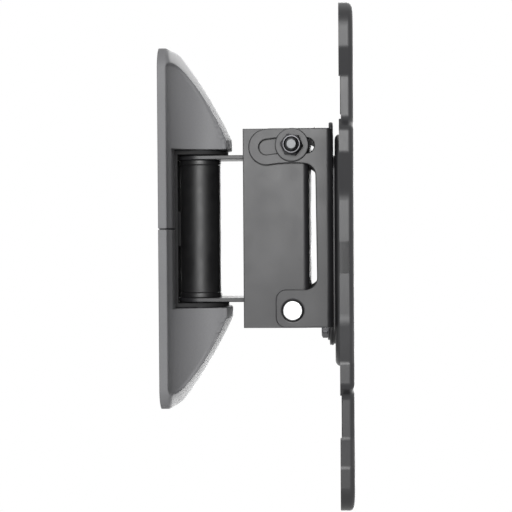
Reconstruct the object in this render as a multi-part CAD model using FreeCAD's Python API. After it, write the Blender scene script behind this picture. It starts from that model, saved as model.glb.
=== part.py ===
import FreeCAD, Part
import math
import os

# Full motion television wall mount, in millimetres.
# +X points from the wall to the television and +Z up. The origin lies on the wall
# plane, on the seam between the two cover halves.
# The chain is: wall unit, link arm, swivel head, tilt head, television plate.

Vec = FreeCAD.Vector

# Fits and gaps
slide_gap = 0.05          # between flat faces that slide on each other
bore_gap = 0.06           # radial, between a hole and the shaft that turns in it
seat_gap = 0.03           # radial, between fixed round pieces
ear_gap = 0.2             # between a tilt ear and the side of the channel
seam_gap = 0.2            # between the two cover halves
cover_gap = 0.4           # between a cover half and the steel that it hides
past = 1.0                # how far a cut runs past a face

# Wall plate and its U bracket
wall_plate_width = 57.0
wall_plate_end_gap = 1.6   # from the plate's end to the inside of the cover
wall_plate_thickness = 3.0
wall_plate_corner = 8.0
wall_hole_radius = 4.5
wall_hole_spacing = 132.0
bracket_width = 29.0
bracket_sheet = 2.0
bracket_bend = 1.8
lip_reach = 2.7           # how far the side lips stand out from the bracket's web
rivet_radius = 2.4
rivet_head_radius = 4.0
rivet_recess = 0.4        # from the wall to the rivet's end
rivet_spacing_y = 16.0
rivet_spacing_z = 48.0
gusset_width = 8.0
gusset_height = 18.0

# The two upright pivots, with the same barrel, bushes and M8 hardware
strap_end_gap = 1.0        # from the strap's round end to the bracket's web
link_length = 37.0
barrel_radius = 10.5
barrel_length = 65.4
bush_flange_radius = 10.8
bush_flange_thickness = 2.6
bush_sleeve_radius = 6.0
bush_sleeve_length = 12.0
strap_width = 24.0
strap_thickness = 2.1
thrust_washer_radius = 10.0
thrust_washer_thickness = 0.4
pivot_bolt_radius = 4.0
pivot_head_flats = 13.0
pivot_head_height = 5.3
pivot_nut_height = 8.0
pivot_washer_radius = 8.0
pivot_washer_thickness = 1.6
bolt_tail = 1.5           # thread that shows past a nut
head_turn_height = 0.4    # share of a head's height that is turned off at the corners
head_turn_depth = 0.6     # share of the corners' reach past the flats
collar_start = 0.7        # share of a lock nut's height below its collar
collar_reach = 0.46       # collar's radius for a nut one wide across flats
collar_round = 0.12       # its rounding, on the same scale

# Cover, one half; the other half is its mirror image
cover_height = 181.4
cover_wall = 1.8
cover_side_gap = 2.7      # from the wall plate's edge to the inside of the cover
cover_rim_step = 1.1      # how far the rim's side stands over the wall plate's face
cover_corner = 11.0
cover_top_depth = 8.9
cover_top_round = 9.5
cover_crown_depth = 12.9
nose_cover = 1.9           # how far the cover's nose stands past the wall bracket
nose_height = 5.2
nose_round = 1.2
nose_round_inside = 0.2
scoop_radius = 22.0
scoop_setback = 7.5       # from the wall plate's edge to the scoop's axis
floor_step = 1.3          # from the bracket's web to the face of the mouth's floor
lug_height = 9.0
lug_depth = 1.5
lug_setback = 0.5          # from the wall to the lug
lug_gap = 0.2             # from the lug to the wall plate's edge

# Swivel channel
channel_width = 60.0
channel_height = 99.0
channel_sheet = 2.5
channel_bend = 3.0
channel_back = 12.85      # from the head pivot back to the open edge
channel_front = 19.8      # from the head pivot forward to the web's face
spine_width = 8.0
spine_height = 56.0

# Tilt hinge, clamp and bracket
tilt_pin_web_gap = 0.7     # from the pin to the inside of the channel's web
tilt_pin_end_gap = 8.7     # from the channel's lower end to the pin's axis
tilt_pin_radius = 5.0
tilt_pin_flange_radius = 7.5
tilt_pin_flange_thickness = 1.5
tilt_pin_proud = 0.3
tilt_pin_round = 0.6
tilt_hole_chamfer = 0.55
clamp_end_gap = 8.3        # from the channel's upper end to the bolt's axis
tilt_forward_limit = 8.5
tilt_back_limit = 4.8
tilt_slot_spare = 0.3     # degrees of slot past each limit
clamp_bolt_radius = 3.0
clamp_head_flats = 10.0
clamp_head_height = 4.0
clamp_nut_height = 6.0
clamp_washer_radius = 8.3
clamp_washer_thickness = 1.5
slot_play = 0.7
bracket_gap = 9.8         # from the channel's web to the tilt bracket's web
tilt_sheet = 2.0
tilt_bend = 3.0
upper_ear_rim = 5.3       # metal round the tilt slot
upper_ear_top = 8.3       # above the clamp bolt
lower_ear_back = 8.4
lower_ear_above = 10.4
lower_ear_below = 8.5
lower_ear_corner = 5.0
strip_top_depth = 8.7
strip_foot_depth = 7.65
inner_corner = 6.0
top_tab_width = 30.0
top_tab_height = 4.3
top_tab_corner = 4.0
foot_tab_radius = 9.5

# Level joint
level_z = -13.0
level_limit = 3.5
level_slot_spare = 0.6
level_head_height = 4.3
level_nut_height = 3.8
level_bolt_tail = 0.4
level_washer_thickness = 1.0
lock_drop = 1.7            # from the tilt bracket's foot to the lock bolt
lock_bolt_radius = 3.0
lock_head_height = 3.2
lock_washer_radius = 6.9
lock_washer_thickness = 1.0
lock_nut_height = 4.5
lock_bolt_tail = 0.8
pad_width = 54.0
pad_margin = 7.3           # past the lock bolt
pad_above = 49.4           # from the level bolt to the pad's top
pad_thickness = 0.95
pad_corner = 8.0

# Television plate
tv_plate_size = 226.0
tv_sheet = 2.0
tv_flange_depth = 6.4
tv_flange_relief = 0.9
tv_draw_round = 2.5
tv_corner = 12.0
tv_edge_bend = 4.0
tv_valley_step = 6.0
tv_waist_step = 9.0
lobe_low = 4.0            # below the middle row of holes, where the lobe's edge starts
lobe_high = 7.0           # above that row, where it ends
waist_end = 22.0          # below that row, where the waist ends
valley_start = 11.0       # above that row, where the valley starts
valley_end = 20.0         # inwards from the outer row
corner_lobe = 8.0         # inwards from the outer row, where the corner's lobe starts
top_valley_start = 44.0   # inwards from the outer row, along the top edge
top_valley_end = 34.0
tv_notch_height = 14.2
tv_notch_spread = 3.0
boss_draw = 8.9
boss_width = 60.0
boss_margin = 18.9         # past the lock bolt
boss_above = 60.5          # from the level bolt to the boss's top
boss_corner = 14.0
boss_round = 3.0
big_hole_radius = 3.3
small_hole_radius = 2.3
big_hole_margin = 13.0     # from the plate's edge to the outer holes
small_pattern = 75.0
window_width = 20.0
side_window_length = 62.0
end_window_length = 68.0
window_corner = 7.0
window_inset = 20.0

# Heights of the pivot stacks, from the middle outwards
bush_top = barrel_length / 2 + bush_flange_thickness
strap_bottom = bush_top + slide_gap
strap_top = strap_bottom + strap_thickness
bracket_flange_bottom = strap_top + slide_gap + thrust_washer_thickness
bracket_flange_top = bracket_flange_bottom + bracket_sheet

# Places along X, from the wall outwards
bracket_web_face = wall_plate_thickness + bracket_sheet
wall_pivot_x = bracket_web_face + strap_end_gap + strap_width / 2
nose_reach = wall_pivot_x + bracket_width / 2 + nose_cover
head_pivot_x = wall_pivot_x + link_length
channel_open_x = head_pivot_x - channel_back
channel_face_x = head_pivot_x + channel_front
tilt_pin_x = channel_face_x - channel_sheet - tilt_pin_web_gap - tilt_pin_radius
tilt_web_x = channel_face_x + bracket_gap
tilt_face_x = tilt_web_x + tilt_sheet
boss_face_x = tilt_face_x + slide_gap + pad_thickness
tv_face_x = boss_face_x + boss_draw
boss_floor_x = boss_face_x + tv_sheet

# Heights
wall_plate_height = cover_height - 2 * (cover_wall + wall_plate_end_gap)
lug_high = wall_hole_spacing / 2
lug_low = lug_high / 3
tilt_pin_z = tilt_pin_end_gap - channel_height / 2
clamp_z = channel_height / 2 - clamp_end_gap
tilt_slot_radius = clamp_z - tilt_pin_z
tilt_foot_z = tilt_pin_z - lower_ear_below
tilt_top_z = clamp_z + upper_ear_top
lock_z = tilt_foot_z - lock_drop
lock_radius = level_z - lock_z
pad_foot_z = lock_z - pad_margin
pad_top_z = level_z + pad_above
boss_foot_z = lock_z - boss_margin
boss_top_z = level_z + boss_above

# Rows of holes in the television plate
big_pattern = tv_plate_size - 2 * big_hole_margin
middle_pattern = big_pattern / 2

# Places across Y
channel_side = channel_width / 2
ear_inner = channel_side + ear_gap
ear_outer = ear_inner + tilt_sheet

# Cover places
cover_side = wall_plate_width / 2 + cover_side_gap + cover_wall
scoop_y = wall_plate_width / 2 + scoop_setback
rim_depth = wall_plate_thickness + cover_rim_step
scoop_x = rim_depth + scoop_radius
mouth_half = bracket_flange_top + cover_gap
mouth_floor_x = bracket_web_face + floor_step


def box(x_range, y_range, z_range):
    size = [high - low for low, high in (x_range, y_range, z_range)]
    return Part.makeBox(*size, Vec(x_range[0], y_range[0], z_range[0]))


def rod(radius, start, end):
    way = Vec(*end) - Vec(*start)
    return Part.makeCylinder(radius, way.Length, Vec(*start), way)


def ring(outer, inner, start, end):
    return rod(outer, start, end).cut(rod(inner, start, end))


def hexagon(flats, start, end, spin=0):
    # A hexagonal prism with its far corners turned off, as on a bolt head.
    way = Vec(*end) - Vec(*start)
    corner = flats / math.sqrt(3)
    turn = FreeCAD.Rotation(Vec(0, 0, 1), way)
    angles = [math.radians(60 * i + spin) for i in range(6)]
    ends = [turn.multVec(Vec(corner * math.cos(a), corner * math.sin(a), 0)) + Vec(*start)
            for a in angles]
    prism = Part.Face(Part.makePolygon(ends + ends[:1])).extrude(way)
    blank = rod(corner, start, end)
    rim = [edge for edge in blank.Edges
           if edge.Closed and abs((edge.CenterOfMass - Vec(*end)).dot(way)) < 1e-6]
    reach = head_turn_depth * (corner - flats / 2)
    return prism.common(blank.makeChamfer(head_turn_height * way.Length, reach, rim))


def rounded_face(corners, place):
    # A flat face from corners (u, v, radius); place turns u and v into a point.
    edges = []
    count = len(corners)
    joints = []
    for i in range(count):
        here = Vec(corners[i][0], corners[i][1], 0)
        before = Vec(corners[i - 1][0], corners[i - 1][1], 0) - here
        after = Vec(corners[(i + 1) % count][0], corners[(i + 1) % count][1], 0) - here
        before.normalize()
        after.normalize()
        half = before.getAngle(after) / 2
        radius = corners[i][2]
        reach = radius / math.tan(half)
        middle = (before + after).normalize() * (radius / math.sin(half) - radius)
        joints.append((here + before * reach, here + middle, here + after * reach, radius))
    for i in range(count):
        start, middle, end, radius = joints[i]
        if radius > 0:
            points = [place(p.x, p.y) for p in (start, middle, end)]
            edges.append(Part.Arc(*points).toShape())
        first = place(end.x, end.y)
        second = place(joints[(i + 1) % count][0].x, joints[(i + 1) % count][0].y)
        if first.distanceToPoint(second) > 1e-6:
            edges.append(Part.makeLine(first, second))
    return Part.Face(Part.Wire(edges))


def plate_face(half_y, low_z, high_z, radius, x):
    corners = [(-half_y, low_z, radius), (half_y, low_z, radius),
               (half_y, high_z, radius), (-half_y, high_z, radius)]
    return rounded_face(corners, lambda u, v: Vec(x, u, v))


def mirrored(shape):
    return shape.mirror(Vec(0, 0, 0), Vec(0, 0, 1))


def mirrored_across(shape):
    return shape.mirror(Vec(0, 0, 0), Vec(0, 1, 0))


def edges_at(shape, points, reach=0.05):
    # The straight or round edges whose middles lie at the given points.
    return [edge for edge in shape.Edges
            if any(edge.CenterOfMass.distanceToPoint(Vec(*p)) < reach for p in points)]


def save(name, *solids):
    shape = solids[0] if len(solids) == 1 else Part.makeCompound(list(solids))
    shape.exportStep("parts/" + name + ".step")


# Wall unit

def wall_plate():
    half = wall_plate_height / 2
    face = plate_face(wall_plate_width / 2, -half, half, wall_plate_corner, 0)
    plate = face.extrude(Vec(wall_plate_thickness, 0, 0))
    for side in (-1, 1):
        hole_z = side * wall_hole_spacing / 2
        plate = plate.cut(rod(wall_hole_radius, (-past, 0, hole_z),
                              (wall_plate_thickness + past, 0, hole_z)))
    for y, z in rivet_places():
        plate = plate.cut(rivet_blank(y, z, seat_gap, -past))
    return plate


def rivet_places():
    return [(y * rivet_spacing_y / 2, z * rivet_spacing_z / 2) for y in (-1, 1) for z in (-1, 1)]


def rivet_blank(y, z, gap, start):
    # A countersunk rivet, or with a gap the hole that it fills.
    shank = rod(rivet_radius + gap, (start, y, z), (bracket_web_face, y, z))
    sink = rivet_head_radius - rivet_radius
    cone = Part.makeCone(rivet_radius + gap, rivet_head_radius + gap, sink,
                         Vec(bracket_web_face - sink, y, z), Vec(1, 0, 0))
    return shank.fuse(cone)


def bracket_rivets():
    return [rivet_blank(y, z, 0, rivet_recess) for y, z in rivet_places()]


def bracket_flange():
    half = bracket_width / 2
    tongue = box((wall_plate_thickness, wall_pivot_x), (-half, half), (0, bracket_sheet))
    tongue = tongue.fuse(rod(half, (wall_pivot_x, 0, 0), (wall_pivot_x, 0, bracket_sheet)))
    hole = rod(pivot_bolt_radius + seat_gap, (wall_pivot_x, 0, -past),
               (wall_pivot_x, 0, bracket_sheet + past))
    flange = tongue.cut(hole)
    flange.translate(Vec(0, 0, bracket_flange_bottom))
    return flange


def wall_bracket():
    half = bracket_width / 2
    web = box((wall_plate_thickness, bracket_web_face), (-half, half),
              (-bracket_flange_top, bracket_flange_top))
    upper = bracket_flange()
    lip = box((wall_plate_thickness, bracket_web_face + lip_reach), (half - bracket_sheet, half),
              (-bracket_flange_top, bracket_flange_top))
    shape = web.fuse([upper, mirrored(upper), lip, mirrored_across(lip)]).removeSplitter()
    for y, z in rivet_places():
        shape = shape.cut(rivet_blank(y, z, seat_gap, 0))
    bends = edges_at(shape, [(wall_plate_thickness, 0, -bracket_flange_top),
                             (wall_plate_thickness, 0, bracket_flange_top)])
    return shape.makeFillet(bracket_bend, bends)


def barrel(x):
    half = barrel_length / 2
    return ring(barrel_radius, bush_sleeve_radius + seat_gap, (x, 0, -half), (x, 0, half))


def barrel_bushes(x):
    half = barrel_length / 2
    flange = rod(bush_flange_radius, (x, 0, half), (x, 0, bush_top))
    sleeve = rod(bush_sleeve_radius, (x, 0, half - bush_sleeve_length), (x, 0, half))
    bore = rod(pivot_bolt_radius + bore_gap, (x, 0, 0), (x, 0, bush_top + past))
    upper = flange.fuse(sleeve).cut(bore)
    return [upper, mirrored(upper)]


def barrel_gusset():
    # A rib, hollowed to the barrel, that carries it on the bracket's web.
    block = box((bracket_web_face, wall_pivot_x), (-gusset_width / 2, gusset_width / 2),
                (-gusset_height / 2, gusset_height / 2))
    seat = rod(barrel_radius + seat_gap, (wall_pivot_x, 0, -gusset_height),
               (wall_pivot_x, 0, gusset_height))
    return block.cut(seat)


def pivot_bolt(x, grip):
    # The grip is the height of the outermost sheet; the washers lie on it.
    seat = grip + pivot_washer_thickness
    foot = seat + pivot_nut_height + bolt_tail
    head = hexagon(pivot_head_flats, (x, 0, seat), (x, 0, seat + pivot_head_height))
    return head.fuse(rod(pivot_bolt_radius, (x, 0, -foot), (x, 0, seat)))


def pivot_washers(x, grip):
    upper = ring(pivot_washer_radius, pivot_bolt_radius + seat_gap,
                 (x, 0, grip), (x, 0, grip + pivot_washer_thickness))
    return [upper, mirrored(upper)]


def lock_nut(flats, height, bore, start, way):
    # A hexagon with the round collar of its nylon ring.
    start = Vec(*start)
    way = Vec(*way)
    crown = start + way * (collar_start * height)
    top = start + way * height
    body = hexagon(flats, start, crown)
    collar = rod(collar_reach * flats, crown, top)
    collar = collar.makeFillet(collar_round * flats, edges_at(collar, [top]))
    return body.fuse(collar).cut(rod(bore, start - past * way, top + past * way))


def pivot_nut(x, grip):
    return lock_nut(pivot_head_flats, pivot_nut_height, pivot_bolt_radius + seat_gap,
                    (x, 0, -grip - pivot_washer_thickness), (0, 0, -1))


def thrust_washers():
    upper = ring(thrust_washer_radius, pivot_bolt_radius + seat_gap,
                 (wall_pivot_x, 0, strap_top + slide_gap), (wall_pivot_x, 0, bracket_flange_bottom))
    return [upper, mirrored(upper)]


# Cover

def cover_slope():
    # The lean of the cover's front from upright, in radians.
    rise = cover_height / 2 - mouth_half - nose_height
    return math.atan2(nose_reach - cover_top_depth, rise)


def cover_blank(inset):
    # The outside of the upper half, or with an inset the hollow inside it.
    top = cover_height / 2 - inset
    side = cover_side - inset
    nose = nose_reach - inset
    shoulder = mouth_half + nose_height
    lean = math.tan(cover_slope())
    slope_x = nose_reach - inset / math.cos(cover_slope())
    back = -past if inset else 0
    foot = -past if inset else seam_gap / 2
    floor = mouth_floor_x - inset
    corners = [(back, foot, 0), (floor, foot, 0), (floor, mouth_half + inset, 0),
               (nose, mouth_half + inset, nose_round_inside if inset else nose_round),
               (nose, shoulder - (nose - slope_x) / lean, nose_round),
               (slope_x - (top - shoulder) * lean, top, cover_top_round - inset), (back, top, 0)]
    side_view = rounded_face(corners, lambda u, v: Vec(u, -cover_side - past, v))
    blank = side_view.extrude(Vec(0, 2 * (cover_side + past), 0))
    front_view = plate_face(side, -top, top, cover_corner - inset, -2 * past)
    blank = blank.common(front_view.extrude(Vec(nose_reach + 4 * past, 0, 0)))
    blank = blank.common(crown(inset))
    for way in (-1, 1):
        blank = blank.cut(scoop(inset, way))
    return blank


def crown(inset):
    # A bar along the sloping front. Its front is half an ellipse, which bows the cover.
    up = Vec(-math.sin(cover_slope()), 0, math.cos(cover_slope()))
    out = Vec(math.cos(cover_slope()), 0, math.sin(cover_slope()))
    across = Vec(0, cover_side - inset, 0)
    shoulder = Vec(nose_reach, 0, mouth_half + nose_height)
    middle = shoulder - out * cover_crown_depth - up * cover_height
    top = middle + out * (cover_crown_depth - inset)
    back = middle - out * cover_height
    bow = Part.Arc(Part.Ellipse(middle + across, top, middle), 0, math.pi).toShape()
    sides = Part.makePolygon([middle - across, back - across, back + across, middle + across])
    return Part.Face(Part.Wire([bow] + sides.Edges)).extrude(up * 2 * cover_height)


def scoop(inset, way):
    # An upright round hollow down one side of the cover.
    start = (scoop_x, way * scoop_y, -cover_height / 2)
    return rod(scoop_radius + inset, start, (scoop_x, way * scoop_y, cover_height))


def cover_lugs():
    # Lugs inside the rim that snap over the wall plate's edges.
    edge = wall_plate_width / 2 + lug_gap
    lugs = []
    for way in (-1, 1):
        across = sorted((way * edge, way * (cover_side - cover_wall / 2)))
        for z in (lug_low, lug_high):
            lugs.append(box((lug_setback, lug_setback + lug_depth), across,
                            (z - lug_height / 2, z + lug_height / 2)))
    return lugs


def cover_half():
    shell = cover_blank(0).cut(cover_blank(cover_wall))
    window = bracket_width / 2 + cover_gap
    shell = shell.cut(box((-past, mouth_floor_x + past), (-window, window), (-past, mouth_half)))
    head_hole = pivot_washer_radius + 2 * cover_gap
    shell = shell.cut(rod(head_hole, (wall_pivot_x, 0, mouth_half - past),
                          (wall_pivot_x, 0, mouth_half + cover_wall + past)))
    return shell.fuse(cover_lugs())


# Link arm

def link_strap():
    half = strap_width / 2
    strap = box((wall_pivot_x, head_pivot_x), (-half, half), (strap_bottom, strap_top))
    for x in (wall_pivot_x, head_pivot_x):
        strap = strap.fuse(rod(half, (x, 0, strap_bottom), (x, 0, strap_top)))
    strap = strap.removeSplitter()
    gaps = {wall_pivot_x: bore_gap, head_pivot_x: seat_gap}
    for x, gap in gaps.items():
        strap = strap.cut(rod(pivot_bolt_radius + gap, (x, 0, 0), (x, 0, strap_top + past)))
    return strap


# Swivel head

def swivel_channel():
    half = channel_height / 2
    inner = channel_side - channel_sheet
    web_x = channel_face_x - channel_sheet
    bend_in = channel_bend - channel_sheet
    section = [(channel_open_x, -channel_side, 0), (channel_face_x, -channel_side, channel_bend),
               (channel_face_x, channel_side, channel_bend), (channel_open_x, channel_side, 0),
               (channel_open_x, inner, 0), (web_x, inner, bend_in),
               (web_x, -inner, bend_in), (channel_open_x, -inner, 0)]
    channel = rounded_face(section, lambda u, v: Vec(u, v, -half)).extrude(Vec(0, 0, 2 * half))
    reach = channel_side + past
    channel = channel.cut(rod(tilt_pin_radius + seat_gap, (tilt_pin_x, -reach, tilt_pin_z),
                              (tilt_pin_x, reach, tilt_pin_z)))
    channel = channel.cut(rod(clamp_bolt_radius + seat_gap, (tilt_pin_x, -reach, clamp_z),
                              (tilt_pin_x, reach, clamp_z)))
    return channel


def barrel_spine():
    # The bar that joins the head barrel to the channel's web.
    web_x = channel_face_x - channel_sheet
    bar = box((head_pivot_x, web_x), (-spine_width / 2, spine_width / 2),
              (-spine_height / 2, spine_height / 2))
    seat = rod(barrel_radius + seat_gap, (head_pivot_x, 0, -spine_height),
               (head_pivot_x, 0, spine_height))
    return bar.cut(seat)


def tilt_pin():
    inner = channel_side - channel_sheet
    flange = rod(tilt_pin_flange_radius, (tilt_pin_x, inner - tilt_pin_flange_thickness, tilt_pin_z),
                 (tilt_pin_x, inner, tilt_pin_z))
    # The flange has a flat beside the channel's web, which stops the pin from turning.
    flat_x = channel_face_x - channel_bend
    flange = flange.common(box((0, flat_x), (0, channel_side), (tilt_pin_z - channel_side, 0)))
    end = ear_outer + tilt_pin_proud
    shank = rod(tilt_pin_radius, (tilt_pin_x, inner, tilt_pin_z), (tilt_pin_x, end, tilt_pin_z))
    shank = shank.makeFillet(tilt_pin_round, edges_at(shank, [(tilt_pin_x, end, tilt_pin_z)]))
    return flange.fuse(shank)


def clamp_bolt():
    inner = channel_side - channel_sheet
    end = clamp_nut_face() + clamp_nut_height + bolt_tail
    head = hexagon(clamp_head_flats, (tilt_pin_x, inner, clamp_z),
                   (tilt_pin_x, inner - clamp_head_height, clamp_z), 30)
    shank = rod(clamp_bolt_radius, (tilt_pin_x, inner, clamp_z), (tilt_pin_x, end, clamp_z))
    return head.fuse(shank)


def clamp_nut_face():
    return ear_outer + slide_gap + clamp_washer_thickness


def clamp_washer():
    return ring(clamp_washer_radius, clamp_bolt_radius + seat_gap,
                (tilt_pin_x, ear_outer + slide_gap, clamp_z), (tilt_pin_x, clamp_nut_face(), clamp_z))


def clamp_nut():
    return lock_nut(clamp_head_flats, clamp_nut_height, clamp_bolt_radius + seat_gap,
                    (tilt_pin_x, clamp_nut_face(), clamp_z), (0, 1, 0))


# Tilt head

def slot_point(angle, radius=tilt_slot_radius):
    # A point at this angle round the tilt pin, from straight up towards the television.
    turn = math.radians(angle)
    return tilt_pin_x + radius * math.sin(turn), tilt_pin_z + radius * math.cos(turn)


def arc_band(inner, outer, start, end, y, thickness):
    # A curved band round the tilt pin in an XZ plane.
    def corner(angle, radius):
        x, z = slot_point(angle, radius)
        return Vec(x, y, z)
    middle = (start + end) / 2
    edges = [Part.Arc(corner(start, outer), corner(middle, outer), corner(end, outer)).toShape(),
             Part.makeLine(corner(end, outer), corner(end, inner)),
             Part.Arc(corner(end, inner), corner(middle, inner), corner(start, inner)).toShape(),
             Part.makeLine(corner(start, inner), corner(start, outer))]
    return Part.Face(Part.Wire(edges)).extrude(Vec(0, thickness, 0))


def tilt_slot():
    half = clamp_bolt_radius + slot_play
    start = -tilt_forward_limit - tilt_slot_spare
    end = tilt_back_limit + tilt_slot_spare
    reach = ear_outer + past
    slot = arc_band(tilt_slot_radius - half, tilt_slot_radius + half, start, end, -reach, 2 * reach)
    for angle in (start, end):
        x, z = slot_point(angle)
        slot = slot.fuse(rod(half, (x, -reach, z), (x, reach, z)))
    return slot


def ear_block():
    # The side view of ears and strips, as a block across the full width.
    rim = clamp_bolt_radius + slot_play + upper_ear_rim
    start = -tilt_forward_limit - tilt_slot_spare
    width = 2 * ear_outer
    top = tilt_top_z
    foot = tilt_foot_z
    band = arc_band(tilt_slot_radius - rim, tilt_slot_radius + rim, start, 2 * tilt_forward_limit,
                    -ear_outer, width)
    x, z = slot_point(start)
    band = band.fuse(rod(rim, (x, -ear_outer, z), (x, ear_outer, z)))
    band = band.common(box((0, tilt_face_x), (-ear_outer, ear_outer), (0, top)))
    strip = rounded_face([(tilt_face_x - strip_foot_depth, foot, 0), (tilt_face_x, foot, 0),
                          (tilt_face_x, top, 0), (tilt_face_x - strip_top_depth, top, 0)],
                         lambda u, v: Vec(u, -ear_outer, v)).extrude(Vec(0, width, 0))
    back = tilt_pin_x - lower_ear_back
    lower = rounded_face([(back, foot, lower_ear_corner), (tilt_face_x, foot, 0),
                          (tilt_face_x, tilt_pin_z + lower_ear_above, 0),
                          (back, tilt_pin_z + lower_ear_above, lower_ear_corner)],
                         lambda u, v: Vec(u, -ear_outer, v)).extrude(Vec(0, width, 0))
    block = band.fuse([strip, lower]).removeSplitter()
    return block.makeFillet(inner_corner, inner_corners(block, rim))


def inner_corners(block, rim):
    # The two edges where the ears run into the strip.
    def strip_x(z):
        share = (z - tilt_foot_z) / (tilt_top_z - tilt_foot_z)
        return tilt_face_x - strip_foot_depth - share * (strip_top_depth - strip_foot_depth)
    low = tilt_pin_z + lower_ear_above
    high = clamp_z
    for step in range(20):
        high = tilt_pin_z + math.sqrt((tilt_slot_radius - rim) ** 2 - (strip_x(high) - tilt_pin_x) ** 2)
    return edges_at(block, [(strip_x(low), 0, low), (strip_x(high), 0, high)], 0.3)


def tilt_bracket():
    top = tilt_top_z
    foot = tilt_foot_z
    shape = ear_block()
    shape = shape.cut(box((0, tilt_web_x), (-ear_inner, ear_inner), (foot - past, top + past)))
    bends = edges_at(shape, [(tilt_face_x, side * ear_outer, (top + foot) / 2) for side in (-1, 1)])
    shape = shape.makeFillet(tilt_bend, bends)
    tab_half = top_tab_width / 2
    tab = plate_face(tab_half, top - 2 * top_tab_height, top + top_tab_height, top_tab_corner,
                     tilt_web_x)
    tabs = [tab.extrude(Vec(tilt_sheet, 0, 0)),
            rod(foot_tab_radius, (tilt_web_x, 0, lock_z), (tilt_face_x, 0, lock_z)),
            box((tilt_web_x, tilt_face_x), (-foot_tab_radius, foot_tab_radius), (lock_z, foot + past))]
    shape = shape.fuse(tabs).removeSplitter()
    shape = shape.cut(tilt_slot())
    shape = shape.cut(rod(tilt_pin_radius + bore_gap, (tilt_pin_x, -ear_outer - past, tilt_pin_z),
                          (tilt_pin_x, ear_outer + past, tilt_pin_z)))
    mouths = edges_at(shape, [(tilt_pin_x, side * ear_outer, tilt_pin_z) for side in (-1, 1)])
    shape = shape.makeChamfer(tilt_hole_chamfer, mouths)
    shape = shape.cut(rod(pivot_bolt_radius + seat_gap, (tilt_web_x - past, 0, level_z),
                          (tilt_face_x + past, 0, level_z)))
    return shape.cut(level_slot())


def level_slot():
    # The short curved slot for the lock bolt, round the level axis.
    half = lock_bolt_radius + level_slot_spare
    pieces = []
    steps = 4
    for i in range(-steps, steps + 1):
        turn = math.radians(level_limit * i / steps)
        y = lock_radius * math.sin(turn)
        z = level_z - lock_radius * math.cos(turn)
        pieces.append(rod(half, (tilt_web_x - past, y, z), (tilt_face_x + past, y, z)))
    return pieces[0].fuse(pieces[1:])


def level_pivot_bolt():
    nut_face = boss_floor_x + slide_gap + level_washer_thickness
    end = nut_face + level_nut_height + level_bolt_tail
    head = hexagon(pivot_head_flats, (tilt_web_x, 0, level_z),
                   (tilt_web_x - level_head_height, 0, level_z))
    return head.fuse(rod(pivot_bolt_radius, (tilt_web_x, 0, level_z), (end, 0, level_z)))


def level_pivot_washer():
    start = boss_floor_x + slide_gap
    return ring(pivot_washer_radius, pivot_bolt_radius + seat_gap, (start, 0, level_z),
                (start + level_washer_thickness, 0, level_z))


def level_pivot_nut():
    start = boss_floor_x + slide_gap + level_washer_thickness
    body = hexagon(pivot_head_flats, (start, 0, level_z), (start + level_nut_height, 0, level_z))
    return body.cut(rod(pivot_bolt_radius + seat_gap, (start - past, 0, level_z),
                        (start + level_nut_height + past, 0, level_z)))


# Television plate

def tv_outline(inset):
    # A square with a lobe at each row of holes and a waist at the middle of each side.
    half = tv_plate_size / 2 - inset
    valley = half - tv_valley_step
    waist = half - tv_waist_step
    big = big_pattern / 2
    middle = middle_pattern / 2
    bend = tv_edge_bend
    quarter = [(waist, middle - waist_end, 3 * bend), (half, middle - lobe_low, bend),
               (half, middle + lobe_high, bend), (valley, middle + valley_start, bend),
               (valley, big - valley_end, bend), (half, big - corner_lobe, bend),
               (half, half, tv_corner - inset), (big - top_valley_end, half, bend),
               (big - top_valley_start, valley, bend)]
    right = quarter + [(-y, z, r) for y, z, r in reversed(quarter)]
    outline = right + [(-y, -z, r) for y, z, r in right]
    return outline


def tv_face(inset, x):
    return rounded_face(tv_outline(inset), lambda u, v: Vec(x, u, v + level_z))


def tv_tray():
    rear = tv_face_x - tv_flange_depth
    outside = tv_face(0, rear).extrude(Vec(tv_flange_depth, 0, 0))
    rim = [edge for edge in outside.Edges if abs(edge.CenterOfMass.x - tv_face_x) < 1e-6
           and abs(edge.BoundBox.XLength) < 1e-6]
    outside = outside.makeFillet(tv_draw_round, rim)
    hollow = tv_face(tv_sheet, rear - past).extrude(Vec(tv_flange_depth - tv_sheet + past, 0, 0))
    return outside.cut(hollow)


def boss_block(inset, rear, front):
    face = plate_face(boss_width / 2 - inset, boss_foot_z + inset, boss_top_z - inset,
                      boss_corner - inset, rear)
    block = face.extrude(Vec(front - rear, 0, 0))
    rim = [edge for edge in block.Edges if abs(edge.CenterOfMass.x - rear) < 1e-6]
    return block.makeFillet(boss_round - inset, rim)


def hole_places(width, height):
    return [(y * width / 2, level_z + z * height / 2) for y in (-1, 1) for z in (-1, 1)]


def tv_holes():
    places = [(y, z, big_hole_radius) for height in (big_pattern, middle_pattern)
              for y, z in hole_places(big_pattern, height)]
    places += [(y, z, small_hole_radius) for size in (middle_pattern, small_pattern)
               for y, z in hole_places(size, size)]
    return [rod(r, (boss_face_x, y, z), (tv_face_x + past, y, z)) for y, z, r in places]


def tv_windows():
    half = tv_plate_size / 2
    near = half - tv_waist_step - window_inset - window_width
    windows = []
    for way in (-1, 1):
        low_y, high_y = sorted((way * near, way * (near + window_width)))
        windows.append(window_block(low_y, high_y, -side_window_length / 2, side_window_length / 2))
        top = half - tv_valley_step - window_inset / 2
        low_z, high_z = sorted((way * top, way * (top - window_width)))
        windows.append(window_block(-end_window_length / 2, end_window_length / 2, low_z, high_z))
    return windows


def window_block(low_y, high_y, low_z, high_z):
    corners = [(low_y, low_z, window_corner), (high_y, low_z, window_corner),
               (high_y, high_z, window_corner), (low_y, high_z, window_corner)]
    face = rounded_face(corners, lambda u, v: Vec(boss_face_x, u, v + level_z))
    return face.extrude(Vec(boss_draw + past, 0, 0))


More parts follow.
